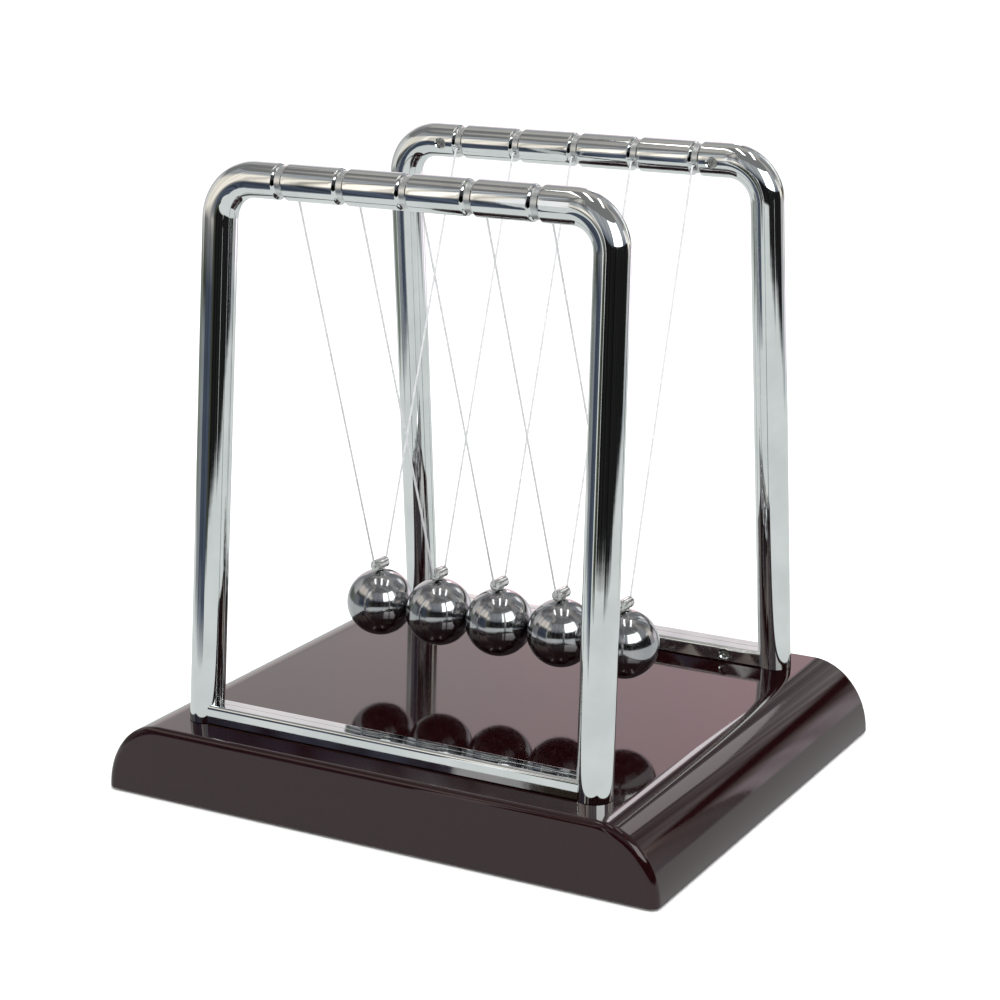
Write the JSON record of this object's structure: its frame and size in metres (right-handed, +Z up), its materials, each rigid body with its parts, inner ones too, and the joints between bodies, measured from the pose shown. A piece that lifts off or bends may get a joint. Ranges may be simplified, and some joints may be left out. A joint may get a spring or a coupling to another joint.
{
  "type": "newtons cradle",
  "caption": "Desk Newton's cradle: steel balls hung on clear lines between two leaning chromed tube frames on a glossy moulded base.",
  "frame": {"origin": "on the table, under the middle of the base", "axes": "+Z up, +X along the row of balls to the right, +Y from the front frame to the rear frame"},
  "size_m": [0.176, 0.151, 0.1813],
  "materials": {
    "burgundy_gloss": "deep glossy burgundy moulding",
    "black_plastic": "plain black moulding",
    "black_rubber": "matt",
    "zinc_steel": "zinc plated",
    "chrome_plate": "chrome-plated ABS, mirror bright",
    "polished_steel": "mirror-polished ball steel",
    "hanger_plate": "bright nickel plate",
    "clear_nylon": "clear monofilament"
  },
  "bodies": {
    "stand": {"base_cover": "burgundy_gloss", "base_bottom_plate": "black_plastic", "rubber_foot_front_left": "black_rubber", "rubber_foot_front_right": "black_rubber", "rubber_foot_rear_left": "black_rubber", "rubber_foot_rear_right": "black_rubber", "plate_screw_front_left": "zinc_steel", "plate_screw_front_right": "zinc_steel", "plate_screw_rear_left": "zinc_steel", "plate_screw_rear_right": "zinc_steel", "leg_screw_front_left": "zinc_steel", "leg_screw_front_right": "zinc_steel", "leg_screw_rear_left": "zinc_steel", "leg_screw_rear_right": "zinc_steel", "front_frame_outer_shell": "chrome_plate", "front_frame_inner_shell": "chrome_plate", "rear_frame_outer_shell": "chrome_plate", "rear_frame_inner_shell": "chrome_plate", "front_frame_screw_top_left": "zinc_steel", "front_frame_screw_top_right": "zinc_steel", "front_frame_screw_rail_left": "zinc_steel", "front_frame_screw_rail_right": "zinc_steel", "rear_frame_screw_top_left": "zinc_steel", "rear_frame_screw_top_right": "zinc_steel", "rear_frame_screw_rail_left": "zinc_steel", "rear_frame_screw_rail_right": "zinc_steel"},
    "pendulum_1": {"ball_1": "polished_steel", "ball_hanger_1": "hanger_plate", "suspension_line_1": "clear_nylon"},
    "pendulum_2": {"ball_2": "polished_steel", "ball_hanger_2": "hanger_plate", "suspension_line_2": "clear_nylon"},
    "pendulum_3": {"ball_3": "polished_steel", "ball_hanger_3": "hanger_plate", "suspension_line_3": "clear_nylon"},
    "pendulum_4": {"ball_4": "polished_steel", "ball_hanger_4": "hanger_plate", "suspension_line_4": "clear_nylon"},
    "pendulum_5": {"ball_5": "polished_steel", "ball_hanger_5": "hanger_plate", "suspension_line_5": "clear_nylon"}
  },
  "joints": [
    {"name": "ball_1_swing", "type": "hinge", "parent": "stand", "child": "pendulum_1", "pos_m": [-0.0392, 0, 0.1746], "axis": [0, -1, 0], "range_deg": [-80, 0]},
    {"name": "ball_2_swing", "type": "hinge", "parent": "stand", "child": "pendulum_2", "pos_m": [-0.0196, 0, 0.1746], "axis": [0, -1, 0], "range_deg": [-0.08, 0.08]},
    {"name": "ball_3_swing", "type": "hinge", "parent": "stand", "child": "pendulum_3", "pos_m": [0, 0, 0.1746], "axis": [0, -1, 0], "range_deg": [-0.08, 0.08]},
    {"name": "ball_4_swing", "type": "hinge", "parent": "stand", "child": "pendulum_4", "pos_m": [0.0196, 0, 0.1746], "axis": [0, -1, 0], "range_deg": [-0.08, 0.08]},
    {"name": "ball_5_swing", "type": "hinge", "parent": "stand", "child": "pendulum_5", "pos_m": [0.0392, 0, 0.1746], "axis": [0, -1, 0], "range_deg": [0, 80]}
  ]
}
